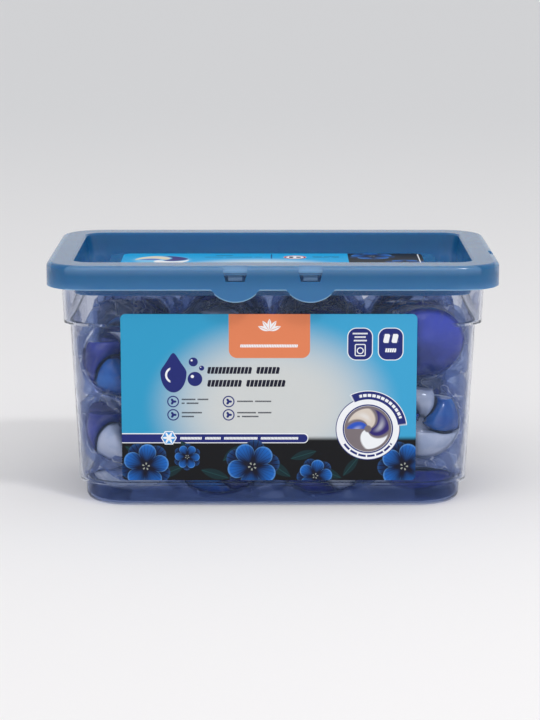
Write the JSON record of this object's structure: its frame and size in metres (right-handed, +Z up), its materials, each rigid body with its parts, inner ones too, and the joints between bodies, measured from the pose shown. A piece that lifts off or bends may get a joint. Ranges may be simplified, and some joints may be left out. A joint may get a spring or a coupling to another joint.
{
  "type": "laundry pod tub",
  "caption": "Clear rectangular tub with a hinged blue lid, a sunken lid panel, front latches and labels, filled with round four-chamber detergent pods.",
  "frame": {"origin": "middle of the tub's flat foot, on the surface that it stands on", "axes": "+X along the tub's length, to the right seen from the label; -Y towards the front label; +Z up"},
  "size_m": [0.2284, 0.1469, 0.126],
  "materials": {
    "clear_plastic": "clear polypropylene, smooth, faint grey-violet",
    "blue_plastic": "translucent blue polypropylene, satin",
    "front_print": "printed film label, satin",
    "lid_print": "printed film label, satin",
    "pod_film": "clear soluble film over coloured gel and powder"
  },
  "bodies": {
    "tub": {"tub": "clear_plastic", "front_label": "front_print", "pod_01": "pod_film", "pod_02": "pod_film", "pod_03": "pod_film", "pod_04": "pod_film", "pod_05": "pod_film", "pod_06": "pod_film", "pod_07": "pod_film", "pod_08": "pod_film", "pod_09": "pod_film", "pod_10": "pod_film", "pod_11": "pod_film", "pod_12": "pod_film", "pod_13": "pod_film", "pod_14": "pod_film", "pod_15": "pod_film", "pod_16": "pod_film", "pod_17": "pod_film", "pod_18": "pod_film", "pod_19": "pod_film", "pod_20": "pod_film", "pod_21": "pod_film", "pod_22": "pod_film", "pod_23": "pod_film", "pod_24": "pod_film", "pod_25": "pod_film", "pod_26": "pod_film", "pod_27": "pod_film", "pod_28": "pod_film", "pod_29": "pod_film", "pod_30": "pod_film", "pod_31": "pod_film", "pod_32": "pod_film", "pod_33": "pod_film", "pod_34": "pod_film", "pod_35": "pod_film", "pod_36": "pod_film", "pod_37": "pod_film", "pod_38": "pod_film", "pod_39": "pod_film", "pod_40": "pod_film"},
    "lid": {"lid": "blue_plastic", "lid_label": "lid_print"}
  },
  "joints": [
    {"name": "lid_hinge", "type": "hinge", "parent": "tub", "child": "lid", "pos_m": [0, 0.0735, 0.111], "axis": [-1, 0, 0], "range_deg": [0, 105]}
  ]
}
